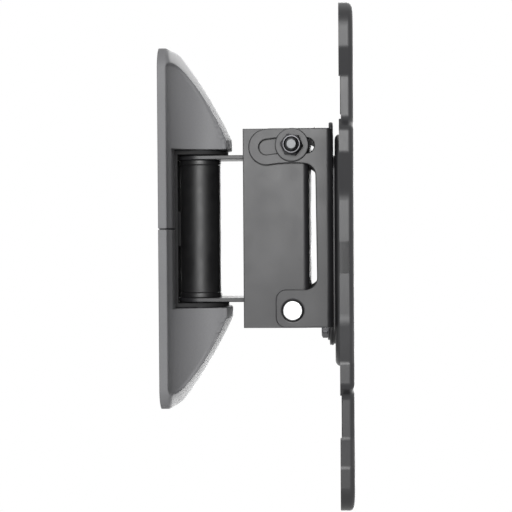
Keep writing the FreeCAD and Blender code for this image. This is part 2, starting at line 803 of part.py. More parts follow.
def tv_notches():
    # The flange is cut away at the middle of both upright sides.
    edge = tv_plate_size / 2 - tv_waist_step
    half = tv_notch_height / 2
    notches = []
    for way in (-1, 1):
        across = sorted((way * (edge - tv_notch_spread), way * (edge + past)))
        notches.append(box((boss_face_x, tv_face_x - tv_sheet), across, (level_z - half, level_z + half)))
    return notches


def flange_reliefs():
    # The flange is a little shallower between the lobes.
    rear = tv_face_x - tv_flange_depth
    half = tv_plate_size / 2
    low = middle_pattern / 2 + valley_start
    high = big_pattern / 2 - valley_end
    reliefs = []
    for side in (-1, 1):
        across = sorted((side * (half - 2 * tv_valley_step), side * (half + past)))
        for way in (-1, 1):
            upright = sorted((level_z + way * low, level_z + way * high))
            reliefs.append(box((rear - past, rear + tv_flange_relief), across, upright))
    return reliefs


def vesa_plate():
    plate = tv_tray()
    plate = plate.fuse(boss_block(0, boss_face_x, tv_face_x - 0.5 * tv_sheet))
    plate = plate.cut(boss_block(tv_sheet, boss_floor_x, tv_face_x + past))
    plate = plate.cut(tv_holes() + tv_windows() + tv_notches() + flange_reliefs())
    pivot = rod(pivot_bolt_radius + bore_gap, (boss_face_x - past, 0, level_z), (tv_face_x, 0, level_z))
    lock = rod(lock_bolt_radius + seat_gap, (boss_face_x - past, 0, lock_z), (tv_face_x, 0, lock_z))
    return plate.cut([pivot, lock])


def level_friction_pad():
    start = boss_face_x - pad_thickness
    pad = plate_face(pad_width / 2, pad_foot_z, pad_top_z, pad_corner, start)
    pad = pad.extrude(Vec(pad_thickness, 0, 0))
    pad = pad.cut(rod(pivot_bolt_radius + bore_gap, (start - past, 0, level_z),
                      (boss_face_x + past, 0, level_z)))
    return pad.cut(rod(lock_bolt_radius + seat_gap, (start - past, 0, lock_z),
                       (boss_face_x + past, 0, lock_z)))


def level_lock_washer():
    front = tilt_web_x - slide_gap
    return ring(lock_washer_radius, lock_bolt_radius + seat_gap,
                (front - lock_washer_thickness, 0, lock_z), (front, 0, lock_z))


def level_lock_bolt():
    seat = tilt_web_x - slide_gap - lock_washer_thickness
    head = hexagon(clamp_head_flats, (seat, 0, lock_z), (seat - lock_head_height, 0, lock_z))
    end = boss_floor_x + lock_nut_height + lock_bolt_tail
    return head.fuse(rod(lock_bolt_radius, (seat, 0, lock_z), (end, 0, lock_z)))


def level_lock_nut():
    body = hexagon(clamp_head_flats, (boss_floor_x, 0, lock_z), (boss_floor_x + lock_nut_height, 0, lock_z))
    return body.cut(rod(lock_bolt_radius + seat_gap, (boss_floor_x - past, 0, lock_z),
                        (tv_face_x, 0, lock_z)))


def both_sides(shape):
    return [shape, mirrored_across(shape)]


os.makedirs("parts", exist_ok=True)

save("wall_plate", wall_plate())
save("wall_bracket", wall_bracket())
save("bracket_rivets", *bracket_rivets())
save("barrel_gusset", barrel_gusset())
save("wall_barrel", barrel(wall_pivot_x))
save("wall_barrel_bushes", *barrel_bushes(wall_pivot_x))
save("wall_thrust_washers", *thrust_washers())
save("wall_pivot_bolt", pivot_bolt(wall_pivot_x, bracket_flange_top))
save("wall_pivot_washers", *pivot_washers(wall_pivot_x, bracket_flange_top))
save("wall_pivot_nut", pivot_nut(wall_pivot_x, bracket_flange_top))

upper_cover = cover_half()
save("upper_cover", upper_cover)
save("lower_cover", mirrored(upper_cover))

strap = link_strap()
save("upper_link_strap", strap)
save("lower_link_strap", mirrored(strap))
save("head_pivot_bolt", pivot_bolt(head_pivot_x, strap_top))
save("head_pivot_washers", *pivot_washers(head_pivot_x, strap_top))
save("head_pivot_nut", pivot_nut(head_pivot_x, strap_top))

save("swivel_channel", swivel_channel())
save("barrel_spine", barrel_spine())
save("head_barrel", barrel(head_pivot_x))
save("head_barrel_bushes", *barrel_bushes(head_pivot_x))
save("tilt_pins", *both_sides(tilt_pin()))
save("tilt_clamp_bolts", *both_sides(clamp_bolt()))
save("tilt_clamp_washers", *both_sides(clamp_washer()))
save("tilt_clamp_nuts", *both_sides(clamp_nut()))

save("tilt_bracket", tilt_bracket())
save("level_pivot_bolt", level_pivot_bolt())
save("level_pivot_washer", level_pivot_washer())
save("level_pivot_nut", level_pivot_nut())

save("vesa_plate", vesa_plate())
save("level_friction_pad", level_friction_pad())
save("level_lock_bolt", level_lock_bolt())
save("level_lock_washer", level_lock_washer())
save("level_lock_nut", level_lock_nut())
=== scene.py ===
import math
import bmesh
import bpy
import numpy as np
from mathutils import Euler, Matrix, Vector


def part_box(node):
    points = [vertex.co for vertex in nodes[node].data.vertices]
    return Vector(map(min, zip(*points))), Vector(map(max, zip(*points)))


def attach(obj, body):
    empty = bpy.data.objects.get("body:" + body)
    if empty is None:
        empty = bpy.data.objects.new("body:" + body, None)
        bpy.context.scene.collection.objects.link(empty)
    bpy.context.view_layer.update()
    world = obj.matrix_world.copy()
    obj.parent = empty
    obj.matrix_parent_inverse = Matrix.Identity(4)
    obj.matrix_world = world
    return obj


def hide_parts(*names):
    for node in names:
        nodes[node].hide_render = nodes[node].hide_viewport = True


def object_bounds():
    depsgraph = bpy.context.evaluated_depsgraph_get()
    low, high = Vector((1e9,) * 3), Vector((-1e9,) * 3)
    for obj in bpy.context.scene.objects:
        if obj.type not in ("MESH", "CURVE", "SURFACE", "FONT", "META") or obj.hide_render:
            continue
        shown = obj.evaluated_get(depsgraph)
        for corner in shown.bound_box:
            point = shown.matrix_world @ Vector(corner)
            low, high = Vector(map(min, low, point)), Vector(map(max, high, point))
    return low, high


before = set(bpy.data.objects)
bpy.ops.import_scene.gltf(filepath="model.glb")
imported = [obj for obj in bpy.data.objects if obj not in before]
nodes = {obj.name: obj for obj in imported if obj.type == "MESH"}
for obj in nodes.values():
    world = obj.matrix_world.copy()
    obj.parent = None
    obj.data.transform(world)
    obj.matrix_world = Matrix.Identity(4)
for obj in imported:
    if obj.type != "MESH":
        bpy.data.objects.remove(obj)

# A full motion wall mount for a television. X points out from the wall and Z up. Objects are in
# metres, and the sizes in the dictionaries below are in millimetres unless a line says otherwise.

for leftover in ("Cube", "Light", "Camera"):
    if leftover in bpy.data.objects:
        bpy.data.objects.remove(bpy.data.objects[leftover])

cadBox = [list(corner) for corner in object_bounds()]
millimetre = 0.001
scene = bpy.context.scene
scene.view_settings.view_transform = "Standard"
print("frame loaded:", len(nodes), "nodes")


# Studio

studio = {
    "cameraPlace": (0.0923, -0.730, 0.0),   # metres
    "lens": 99.3,
    "yaw": 2.75,           # degrees to the left
    "pitch": -1.12,
    "roll": 0.36,
    "shiftX": -0.040,
    "fillStrength": 0.02,
    "floorDrop": 1.0,      # metres
    "floorSize": 6.0,
}

# name: place, target, width and height in metres, radiance
softboxes = {
    "keySoftbox": ((0.03, -1.10, 0.22), (0.06, 0.0, 0.0), 0.50, 0.50, 10.0),
    "frontSoftbox": ((0.05, -1.30, 0.00), (0.06, 0.0, 0.0), 0.60, 0.60, 1.6),
    "topSoftbox": ((0.20, 0.15, 1.00), (0.05, 0.0, 0.0), 0.60, 0.80, 0.5),
    "farSoftbox": ((0.38, 1.35, 0.45), (0.03, 0.0, 0.05), 0.90, 1.10, 5.4),
    "farLowSoftbox": ((0.50, 1.30, -0.45), (0.03, 0.0, -0.05), 0.90, 0.80, 5.8),
    "wallSideSoftbox": ((-1.10, 0.60, 0.20), (0.02, 0.0, 0.0), 0.80, 0.90, 0.6),
    "televisionSideSoftbox": ((1.40, 0.20, 0.35), (0.09, 0.0, 0.0), 0.90, 0.90, 0.6),
}


def linearColour(hexText):
    # An sRGB hex colour as linear red, green, blue and alpha.
    values = np.array([int(hexText[i:i + 2], 16) for i in (1, 3, 5)]) / 255
    linear = np.where(values <= 0.04045, values / 12.92, ((values + 0.055) / 1.055) ** 2.4)
    return (*linear.tolist(), 1.0)


def addNode(tree, kind, inputs=None, **settings):
    # Adds a node; an input is given a value, or an output socket to be linked to.
    node = tree.nodes.new("ShaderNode" + kind)
    for name, value in settings.items():
        setattr(node, name, value)
    for name, value in (inputs or {}).items():
        if isinstance(value, bpy.types.NodeSocket):
            tree.links.new(value, node.inputs[name])
        else:
            node.inputs[name].default_value = value
    return node


def emptyMaterial(name):
    material = bpy.data.materials.new(name)
    material.use_nodes = True
    material.node_tree.nodes.clear()
    return material, material.node_tree


def seenDirectly(tree):
    # 1 for rays from the eye, from gloss and through glass; 0 for the rays that light the object.
    path = addNode(tree, "LightPath")
    seen = addNode(tree, "Math", {0: path.outputs["Is Camera Ray"], 1: path.outputs["Is Glossy Ray"]},
                   operation="MAXIMUM")
    return addNode(tree, "Math", {0: seen.outputs[0], 1: path.outputs["Is Transmission Ray"]},
                   operation="MAXIMUM").outputs[0]


def makeWorld():
    # A white surround to look at, and a plain soft fill for everything else.
    world = bpy.data.worlds.new("whiteSurround")
    scene.world = world
    world.use_nodes = True
    tree = world.node_tree
    tree.nodes.clear()
    colour = linearColour("#ffffff")
    fill = addNode(tree, "Background", {"Color": colour, "Strength": studio["fillStrength"]})
    white = addNode(tree, "Background", {"Color": colour, "Strength": 1.0})
    mix = addNode(tree, "MixShader", {0: seenDirectly(tree), 1: fill.outputs[0], 2: white.outputs[0]})
    addNode(tree, "OutputWorld", {"Surface": mix.outputs[0]})


def makeFloor():
    # A pale floor far below. It is as white as the surround to the eye and in gloss.
    half = studio["floorSize"] / 2
    low = cadBox[0][2] - studio["floorDrop"]
    mesh = bpy.data.meshes.new("floor")
    mesh.from_pydata([(-half, -half, low), (half, -half, low), (half, half, low), (-half, half, low)],
                     [], [(0, 1, 2, 3)])
    floor = bpy.data.objects.new("floor", mesh)
    scene.collection.objects.link(floor)
    material, tree = emptyMaterial("paleFloor")
    pale = addNode(tree, "BsdfDiffuse", {"Color": linearColour("#e8e8e8")})
    white = addNode(tree, "Emission", {"Color": linearColour("#ffffff"), "Strength": 1.0})
    mix = addNode(tree, "MixShader", {0: seenDirectly(tree), 1: pale.outputs[0], 2: white.outputs[0]})
    addNode(tree, "OutputMaterial", {"Surface": mix.outputs[0]})
    mesh.materials.append(material)


def makeSoftboxes():
    for name, (place, target, width, height, radiance) in softboxes.items():
        lamp = bpy.data.lights.new(name, "AREA")
        lamp.shape = "RECTANGLE"
        lamp.size = width
        lamp.size_y = height
        lamp.energy = radiance * width * height * math.pi
        holder = bpy.data.objects.new(name, lamp)
        holder.location = place
        holder.rotation_euler = (Vector(target) - Vector(place)).to_track_quat("-Z", "Y").to_euler()
        holder.visible_camera = False
        scene.collection.objects.link(holder)


def makeCamera():
    lens = bpy.data.cameras.new("camera")
    lens.lens = studio["lens"]
    lens.sensor_width = 36
    lens.shift_x = studio["shiftX"]
    lens.clip_start = 0.02
    lens.clip_end = 20
    camera = bpy.data.objects.new("camera", lens)
    camera.location = studio["cameraPlace"]
    camera.rotation_euler = Euler((math.radians(90 + studio["pitch"]), math.radians(studio["roll"]),
                                   math.radians(studio["yaw"])), "YXZ")
    scene.collection.objects.link(camera)
    scene.camera = camera


makeWorld()
makeFloor()
makeSoftboxes()
makeCamera()
print("studio ready")


# Finishes

def finishShader(tree, colour, roughness, metallic=0.0, normal=None, **evenValues):
    # The one shader of a finish; its even values are set on its own sockets.
    inputs = {"Base Color": colour, "Roughness": roughness, "Metallic": metallic, **evenValues}
    if normal:
        inputs["Normal"] = normal
    shader = addNode(tree, "BsdfPrincipled", inputs)
    addNode(tree, "OutputMaterial", {"Surface": shader.outputs[0]})


surface = {
    "noiseRoughness": 0.55,
    "noiseSpan": (0.3, 0.7),     # the part of the noise that is spread out
    "peelStrength": 0.8,
    "grainStrength": 0.7,
    "plateStrength": 0.6,
    "plateHeight": 0.004,        # of the fine unevenness of zinc plate, in millimetres
    "plateFineness": 8,          # how many times finer it is than the patches
}


def noiseAt(tree, size, detail):
    # Noise with blobs of about this size, in millimetres, on the object's own coordinates.
    place = addNode(tree, "TexCoord")
    noise = addNode(tree, "TexNoise", {"Vector": place.outputs["Object"], "Detail": detail,
                                       "Scale": 1 / (size * millimetre),
                                       "Roughness": surface["noiseRoughness"]})
    return noise.outputs[0]


def between(tree, factor, low, high):
    # Turns noise about its middle into a value between two ends.
    start, end = surface["noiseSpan"]
    spread = addNode(tree, "MapRange", {"Value": factor, "From Min": start, "From Max": end,
                                        "To Min": low, "To Max": high})
    return spread.outputs[0]


def blendColours(tree, factor, first, second):
    mix = addNode(tree, "Mix", {"Factor": between(tree, factor, 0.0, 1.0)}, data_type="RGBA")
    colours = [socket for socket in mix.inputs if socket.type == "RGBA"]
    colours[0].default_value = linearColour(first)
    colours[1].default_value = linearColour(second)
    return [socket for socket in mix.outputs if socket.type == "RGBA"][0]


def bumpOf(tree, pattern, height, strength):
    # A bump of this height in millimetres.
    return addNode(tree, "Bump", {"Height": pattern, "Distance": height * millimetre,
                                  "Strength": strength}).outputs[0]


powderCoatLook = {"light": "#2c2c2e", "dark": "#262628", "peelSize": 1.1, "peelHeight": 0.012,
                  "patchSize": 18, "smooth": 0.36, "rough": 0.44}
# painted shade: the two looks below are darker coats that darken the steel lying in shade inside the
# cover's mouth; the second, for the deepest shade, is also duller
paintedShadeCoatLook = {"light": "#202021", "dark": "#19191a", "peelSize": 0.8, "peelHeight": 0.02,
                "patchSize": 6, "smooth": 0.38, "rough": 0.50}
dullPaintedShadeCoatLook = {"light": "#1c1c1d", "dark": "#161617", "peelSize": 0.8, "peelHeight": 0.02,
                "patchSize": 6, "smooth": 0.70, "rough": 0.80}
coverLook = {"light": "#8b8b8d", "dark": "#858587", "grainSize": 0.45, "grainHeight": 0.003,
             "patchSize": 30, "smooth": 0.56, "rough": 0.62}
nylonLook = {"light": "#222223", "dark": "#1a1a1b", "grainSize": 0.6, "smooth": 0.34, "rough": 0.46}
blackZincLook = {"light": "#5c5c5e", "dark": "#444446", "patchSize": 4, "smooth": 0.26, "rough": 0.40}
dullZincLook = {"light": "#666768", "dark": "#454647", "patchSize": 1.5, "smooth": 0.34, "rough": 0.50}
brightZincLook = {"light": "#bcbdbd", "dark": "#8f9091", "patchSize": 3.5, "smooth": 0.30, "rough": 0.44}


def powderCoat(name, look):
    # Black epoxy powder coat baked on steel: satin, with the fine ripple called orange peel. Its
    # shade looks are darker and duller: painted shade for the steel inside the cover's mouth.
    material, tree = emptyMaterial(name)
    patches = noiseAt(tree, look["patchSize"], 3)
    peel = noiseAt(tree, look["peelSize"], 1)
    finishShader(tree, blendColours(tree, patches, look["dark"], look["light"]),
                 between(tree, patches, look["smooth"], look["rough"]),
                 normal=bumpOf(tree, peel, look["peelHeight"], surface["peelStrength"]))
    return material


def coverPlastic():
    # Injection moulded ABS with a fine spark-eroded grain: an even soft sheen.
    look = coverLook
    material, tree = emptyMaterial("mouldedAbs")
    patches = noiseAt(tree, look["patchSize"], 2)
    grain = noiseAt(tree, look["grainSize"], 2)
    finishShader(tree, blendColours(tree, grain, look["dark"], look["light"]),
                 between(tree, patches, look["smooth"], look["rough"]),
                 normal=bumpOf(tree, grain, look["grainHeight"], surface["grainStrength"]))
    return material


def nylon():
    # Moulded black nylon: smoother than the steel's coat, with a faint flow pattern.
    look = nylonLook
    material, tree = emptyMaterial("blackNylon")
    grain = noiseAt(tree, look["grainSize"], 2)
    finishShader(tree, blendColours(tree, grain, look["dark"], look["light"]),
                 between(tree, grain, look["smooth"], look["rough"]), IOR=1.53)
    return material


def platedSteel(name, look):
    # Zinc plated steel, bright or passivated black: metal with small cloudy patches.
    material, tree = emptyMaterial(name)
    patches = noiseAt(tree, look["patchSize"], 4)
    fine = noiseAt(tree, look["patchSize"] / surface["plateFineness"], 2)
    finishShader(tree, blendColours(tree, patches, look["dark"], look["light"]),
                 between(tree, patches, look["smooth"], look["rough"]), 1.0,
                 normal=bumpOf(tree, fine, surface["plateHeight"], surface["plateStrength"]))
    return material


finishes = {
    "black_paint": powderCoat("blackPowderCoat", powderCoatLook),
    # painted shade: the two finishes below darken the steel that lies in shade inside the cover's mouth
    "painted_shade_coat": powderCoat("paintedShadeBlackPowderCoat", paintedShadeCoatLook),
    "dull_painted_shade_coat": powderCoat("dullPaintedShadeBlackPowderCoat", dullPaintedShadeCoatLook),
    "black_cover": coverPlastic(),
    "black_nylon": nylon(),
    "black_zinc": platedSteel("blackPassivatedZinc", blackZincLook),
    "zinc": platedSteel("brightZinc", brightZincLook),
    "dull_zinc": platedSteel("dullZinc", dullZincLook),
}
print("finishes ready")


# Shapes, worked out as whole arrays in millimetres

def gridFaces(rows, columns, ringed=False):
    # Four-sided faces between neighbouring points of a grid; ringed joins its last column to its first.
    across = columns if ringed else columns - 1
    row, column = np.mgrid[0:rows - 1, 0:across]
    after = (column + 1) % columns
    corners = [row * columns + column, row * columns + after,
               (row + 1) * columns + after, (row + 1) * columns + column]
    return np.stack(corners, axis=-1).reshape(-1, 4)


meshing = {"merge": 0.002, "sliver": 0.0005}   # distances in millimetres


def makePiece(name, points, faces, finish, body, replaced=(), look=None):
    # A smooth shaded piece from points in millimetres, closed at its poles and facing outwards.
    # The finish is the record's slot; a look, where one is given, is shown in its place.
    mesh = bpy.data.meshes.new(name)
    points = np.asarray(points, dtype=float).reshape(-1, 3) * millimetre
    faces = np.asarray(faces)
    mesh.vertices.add(len(points))
    mesh.vertices.foreach_set("co", points.ravel())
    mesh.loops.add(faces.size)
    mesh.loops.foreach_set("vertex_index", faces.ravel())
    mesh.polygons.add(len(faces))
    mesh.polygons.foreach_set("loop_start", np.arange(len(faces)) * faces.shape[1])
    mesh.update(calc_edges=True)
    shape = bmesh.new()
    shape.from_mesh(mesh)
    bmesh.ops.remove_doubles(shape, verts=shape.verts, dist=meshing["merge"] * millimetre)
    bmesh.ops.dissolve_degenerate(shape, edges=shape.edges, dist=meshing["sliver"] * millimetre)
    bmesh.ops.recalc_face_normals(shape, faces=shape.faces)
    shape.to_mesh(mesh)
    shape.free()
    mesh.shade_smooth()
    mesh.materials.append(finishes[look or finish])
    piece = bpy.data.objects.new(name, mesh)
    scene.collection.objects.link(piece)
    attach(piece, body)
    if replaced:
        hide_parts(*replaced)
    return piece


def nodeBox(name):
    # A node's lowest and highest corners in millimetres.
    return np.array(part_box(name)) / millimetre


# Cover: a crowned hood with an upright scoop down each side and a mouth for the link

coverForm = {
    "corner": 11.0,          # of its outline from the front
    "crown": 7.4,            # how far the front falls away at its sides
    "crownPower": 1.45,
    "lean": 0.4544,          # the front's step out for each step down, just above the nose
    "bow": 0.00333,          # how fast that lean grows with height
    "noseHeight": 5.2,
    "noseRound": 0.5,
    "topRound": 2.4,
    "topRoundStart": 66.0,   # height where the rounding of the top begins to open
    "scoopRadius": 22.0,
    "scoopAxis": (26.1, 36.0),
    "rimRound": 0.6,         # between the rim and the scoop
    "edgeRound": 0.4,        # elsewhere
    "roundChange": (5.0, 10.0),   # depths between which one rounding turns into the other
    "rim": (4.6, 3.5),       # depth of the flat rim behind the crowned front, and the blend between them
    "lipDepth": 2.2,         # how deep the scoop's flared lip is
    "lipFlare": 1.2,
    "arch": (86.0, 6.5),     # height of the scoop's rounded end, and its rounding
    "seamRound": 0.3,
    "seamGap": 0.2,          # how much further than the solid each half stays from the seam
    "floorStep": 1.3,        # from the bracket's web to the mouth's floor
    "wall": 1.8,
    "windowGap": 0.4,
    "headGap": 0.8,          # round the pivot bolt's washer
    "seamRows": 2.0,         # height above the seam where the even rows of the mouth start
    "windowFade": 18.0,      # height over which the columns leave the window's side
    "climb": (0.6, 0.70),    # share of the upper rows that rise evenly, and how far they get
    "topGap": 0.01,          # from the last of them to the top
    "columns": (0, 32, 58, 76, 90),   # at the middle, the lip, the window, the rim and the side
    "edgeRows": 5,
    "floorRows": 12,
    "undersideRows": 8,
    "upperRows": 88,
    "topRows": 8,
    "longestRay": 80.0,
    "halvings": 34,          # of that ray, to find where it leaves the cover
    "searchAngles": 1201,    # for the scoop's sides
    "leastCut": 0.05,        # depth from which the scoop counts as cut
    "leastAngles": 40,       # how many of those angles it has to cut
    "headSides": 96,
}


def easeBetween(value, start, end):
    # 0 before the start, 1 after the end, and a smooth step between them.
    share = np.clip((value - start) / (end - start), 0, 1)
    return share ** 2 * (3 - 2 * share)


def roundedMost(first, second, radius):
    # The larger of two distances, blended by a quarter circle where both surfaces are near.
    blended = np.hypot(np.maximum(first + radius, 0), np.maximum(second + radius, 0)) - radius
    return np.where((first > -radius) & (second > -radius), blended, np.maximum(first, second))


def coverDistance(x, y, z, size, inMouth, scooped):
    # Distance outside the cover: the most of its front, outline, scoop and mouth floor.
    # The crowned front is where the width across, as a share of the side, and the depth below the
    # apex, as a share of the crown, each raised to the crown's power, add up to one. What is over
    # or under one is divided by its slope, which gives about a distance. The scoop is an upright
    # cylinder whose radius shrinks near the front, and its upper end is level. The tiny numbers
    # keep powers and roundings away from nothing.
    form = coverForm
    y = np.abs(y) + 1e-9
    rise = z - size["noseTop"]
    rise = (rise + np.hypot(rise, form["noseRound"])) / 2
    lean = np.where(z > size["noseTop"], form["lean"] + 2 * form["bow"] * rise, 0)
    apex = size["nose"] - form["lean"] * rise - form["bow"] * rise ** 2
    depth = np.maximum((x - apex) / np.sqrt(1 + lean ** 2) + form["crown"], 0)
    power = form["crownPower"]
    sideways = y / size["side"]
    outward = depth / form["crown"] + 1e-9
    reach = (sideways ** power + outward ** power) ** (1 / power)
    steepness = np.hypot(sideways ** (power - 1) / size["side"], outward ** (power - 1) / form["crown"])
    front = (reach - 1) * reach ** (power - 1) / steepness
    front = -roundedMost(-front, form["rim"][0] - x, form["rim"][1])
    across = y - size["side"] + form["corner"]
    up = z - size["top"] + form["corner"]
    outline = np.hypot(np.maximum(across, 0), np.maximum(up, 0)) - form["corner"]
    outline += np.minimum(np.maximum(across, up), 0)
    opened = easeBetween(z, form["topRoundStart"], size["top"] - form["corner"])
    body = roundedMost(front, outline, form["topRound"] * opened + 1e-6)
    near = np.clip(1 + front / form["lipDepth"], 0, 1)
    radius = form["scoopRadius"] - form["lipFlare"] * near ** 2
    hollow = radius - np.hypot(x - form["scoopAxis"][0], y - form["scoopAxis"][1])
    hollow = -roundedMost(-hollow, z - form["arch"][0], form["arch"][1])
    crisp = easeBetween(x, *form["roundChange"])
    if scooped:
        rounding = form["rimRound"] + crisp * (form["edgeRound"] - form["rimRound"])
        body = roundedMost(body, hollow, rounding)
    if inMouth:
        body = roundedMost(body, x - size["floor"], form["edgeRound"])
    return body


def castCover(angles, heights, level, size, inMouth=False, scooped=True):
    # How far each level ray from the wall's middle line runs before it leaves the cover.
    low = np.zeros(np.broadcast(angles, heights).shape)
    high = low + coverForm["longestRay"]
    for halving in range(coverForm["halvings"]):
        middle = (low + high) / 2
        x, y = middle * np.cos(angles), middle * np.sin(angles)
        inside = coverDistance(x, y, heights, size, inMouth, scooped) < -level
        low = np.where(inside, middle, low)
        high = np.where(inside, high, middle)
    return low


def evened(line, reach=4):
    # Each value as the mean of its neighbours, with both ends carried on straight.
    start = 2 * line[0] - line[reach:0:-1]
    end = 2 * line[-1] - line[-2:-reach - 2:-1]
    window = np.ones(2 * reach + 1) / (2 * reach + 1)
    return np.convolve(np.concatenate([start, line, end]), window, "valid")


def scoopSpan(fine, heights, inset, size):
    # The angles between which the scoop cuts each level; where it has ended they are held.
    whole = castCover(fine, heights[:, None], inset, size, scooped=False)
    cut = whole - castCover(fine, heights[:, None], inset, size) > coverForm["leastCut"]
    found = cut.sum(axis=1) > coverForm["leastAngles"]
    lip = fine[0][cut.argmax(axis=1)]
    rim = fine[0][len(fine[0]) - 1 - cut[:, ::-1].argmax(axis=1)]
    return [evened(np.interp(heights, heights[found], edge[found])) for edge in (lip, rim)]


def columnAngles(lip, window, rim):
    # Columns that follow the lip, the window's side and the rim, gathered at those edges.
    counts = np.diff(coverForm["columns"])
    shares = [np.linspace(0, 1, count, endpoint=False) for count in counts]
    eased = [np.sin(shares[0] * np.pi / 2), (1 - np.cos(shares[1] * np.pi)) / 2,
             (1 - np.cos(shares[2] * np.pi)) / 2, 1 - np.cos(shares[3] * np.pi / 2)]
    knots = [0 * lip, lip, window, rim, 0 * rim + np.pi / 2]
    parts = [a[:, None] + (b - a)[:, None] * share for a, b, share in zip(knots[:-1], knots[1:], eased)]
    return np.concatenate(parts + [knots[-1][:, None]], axis=1)


def coverSkin(size, inset):
    # Rows run from the seam up the mouth, out along its underside and up to the top.
    # Each point lies where a level ray at the column's angle leaves the cover.
    form = coverForm
    edge = form["edgeRound"]
    seam = size["seam"]
    mouth = size["mouth"] + inset
    top = size["top"] - inset
    turn = np.linspace(0, np.pi / 2, form["edgeRows"])
    fine = np.linspace(0, np.pi / 2, form["searchAngles"])[None, :]
    # the mouth: seam edge, then upright rows
    seamRise = form["seamRound"] * (1 - np.cos(turn))
    seamLevel = form["seamRound"] * (1 - np.sin(turn))
    mouthHeights = np.concatenate([seam + seamRise,
                                   np.linspace(seam + form["seamRows"], mouth, form["floorRows"])])
    mouthLevels = np.concatenate([seamLevel, np.zeros(form["floorRows"])])
    # the upper part: a rounded edge round the underside, then up with rows gathered at the top
    edgeHeights = mouth + edge * (1 - np.cos(turn))
    edgeLevels = edge * (1 - np.sin(turn))
    rise = top - form["topGap"] - edgeHeights[-1]
    share = np.linspace(0, 1, form["upperRows"] + 1)[1:]
    even, reached = form["climb"]
    slowed = np.sin((share - even) / (1 - even) * np.pi / 2)
    climb = np.where(share < even, share / even * reached, reached + (1 - reached) * slowed)
    upperHeights = edgeHeights[-1] + rise * climb
    if inset:
        mouthLevels = mouthLevels * 0
        edgeLevels = edgeLevels * 0
    # angles of the columns
    lip, rim = scoopSpan(fine, np.concatenate([edgeHeights[-1:], upperHeights]), inset, size)
    windowAngle = math.atan2(size["window"], size["floor"] - inset)
    mouthAngles = columnAngles(lip[:1], np.array([windowAngle]), rim[:1])[0]
    leave = easeBetween(upperHeights, edgeHeights[-1], edgeHeights[-1] + form["windowFade"])
    window = windowAngle + ((lip + rim)[1:] / 2 - windowAngle) * leave
    upperAngles = columnAngles(lip[1:], window, rim[1:])
    # distances along the rays
    mouthReach = castCover(mouthAngles[None, :], mouthHeights[:, None], inset + mouthLevels[:, None],
                           size, True)
    # the edge is rounded where the underside juts out, and not on the rim beside it
    jut = castCover(mouthAngles, edgeHeights[-1], inset, size) - mouthReach[-1]
    edgeLevels = edgeLevels[:, None] * np.clip(jut / (2 * edge), 0, 1)
    edgeReach = castCover(mouthAngles[None, :], np.full((form["edgeRows"], 1), edgeHeights[-1]),
                          inset + edgeLevels, size)
    upperReach = castCover(upperAngles, upperHeights[:, None], inset, size)
    out = np.linspace(0, 1, form["undersideRows"] + 1)[1:-1, None]
    underReach = mouthReach[-1:] + (edgeReach[:1] - mouthReach[-1:]) * out
    shrink = np.linspace(1, 0, form["topRows"])[:, None]
    topReach = upperReach[-1:] * shrink
    reach = np.concatenate([mouthReach, underReach, edgeReach, upperReach, topReach])
    lowRows = len(mouthReach) + len(underReach) + len(edgeReach)
    angles = np.concatenate([np.repeat(mouthAngles[None], lowRows, axis=0), upperAngles,
                             np.repeat(upperAngles[-1:], form["topRows"], axis=0)])
    heights = np.concatenate([mouthHeights, np.full(len(underReach), mouth), edgeHeights, upperHeights,
                              np.full(form["topRows"], top)])
    reach = np.concatenate([reach[:, :0:-1], reach], axis=1)
    angles = np.concatenate([-angles[:, :0:-1], angles], axis=1)
    heights = np.repeat(heights[:, None], reach.shape[1], axis=1)
    points = np.stack([reach * np.cos(angles), reach * np.sin(angles), heights], axis=-1)
    return points, len(mouthHeights) - 1


def stripFaces(outer, inner):
    # Faces that join two lines of points, given by their numbers.
    return np.stack([outer[:-1], outer[1:], inner[1:], inner[:-1]], axis=-1)


def coverShell(size):
    # An outer and an inner skin, joined round the window, at the seam and along both back edges.
    outer, sill = coverSkin(size, 0.0)
    inner, sill = coverSkin(size, coverForm["wall"])
    rows, columns = outer.shape[:2]
    number = np.arange(rows * columns).reshape(rows, columns)
    within = number + rows * columns
    faces = gridFaces(rows, columns)
    row = faces[:, 0] // columns
    column = faces[:, 0] % columns
    left = coverForm["columns"][-1] - coverForm["columns"][2]
    right = coverForm["columns"][-1] + coverForm["columns"][2]
    keep = ~((row < sill) & (column >= left) & (column < right))
    faces = faces[keep]
    skins = [faces, faces[:, ::-1] + rows * columns]
    rims = [(number[0, :left + 1], within[0, :left + 1]), (number[0, right:], within[0, right:]),
            (number[:sill + 1, left], within[:sill + 1, left]),
            (number[:sill + 1, right], within[:sill + 1, right]),
            (number[sill, left:right + 1], within[sill, left:right + 1]),
            (number[:, 0], within[:, 0]), (number[:, -1], within[:, -1])]
    faces = np.concatenate(skins + [stripFaces(a, b) for a, b in rims])
    return np.concatenate([outer.reshape(-1, 3), inner.reshape(-1, 3)]), faces


def coverSize():
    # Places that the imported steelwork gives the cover.
    low, high = nodeBox("upper_cover")
    bracket = nodeBox("wall_bracket")[1]
    mouth = bracket[2] + coverForm["windowGap"]
    return {"top": high[2], "side": high[1], "nose": high[0], "mouth": mouth,
            "seam": low[2] + coverForm["seamGap"],
            "noseTop": mouth + coverForm["noseHeight"],
            "window": bracket[1] + coverForm["windowGap"],
            "floor": nodeBox("bracket_rivets")[1][0] + coverForm["floorStep"]}


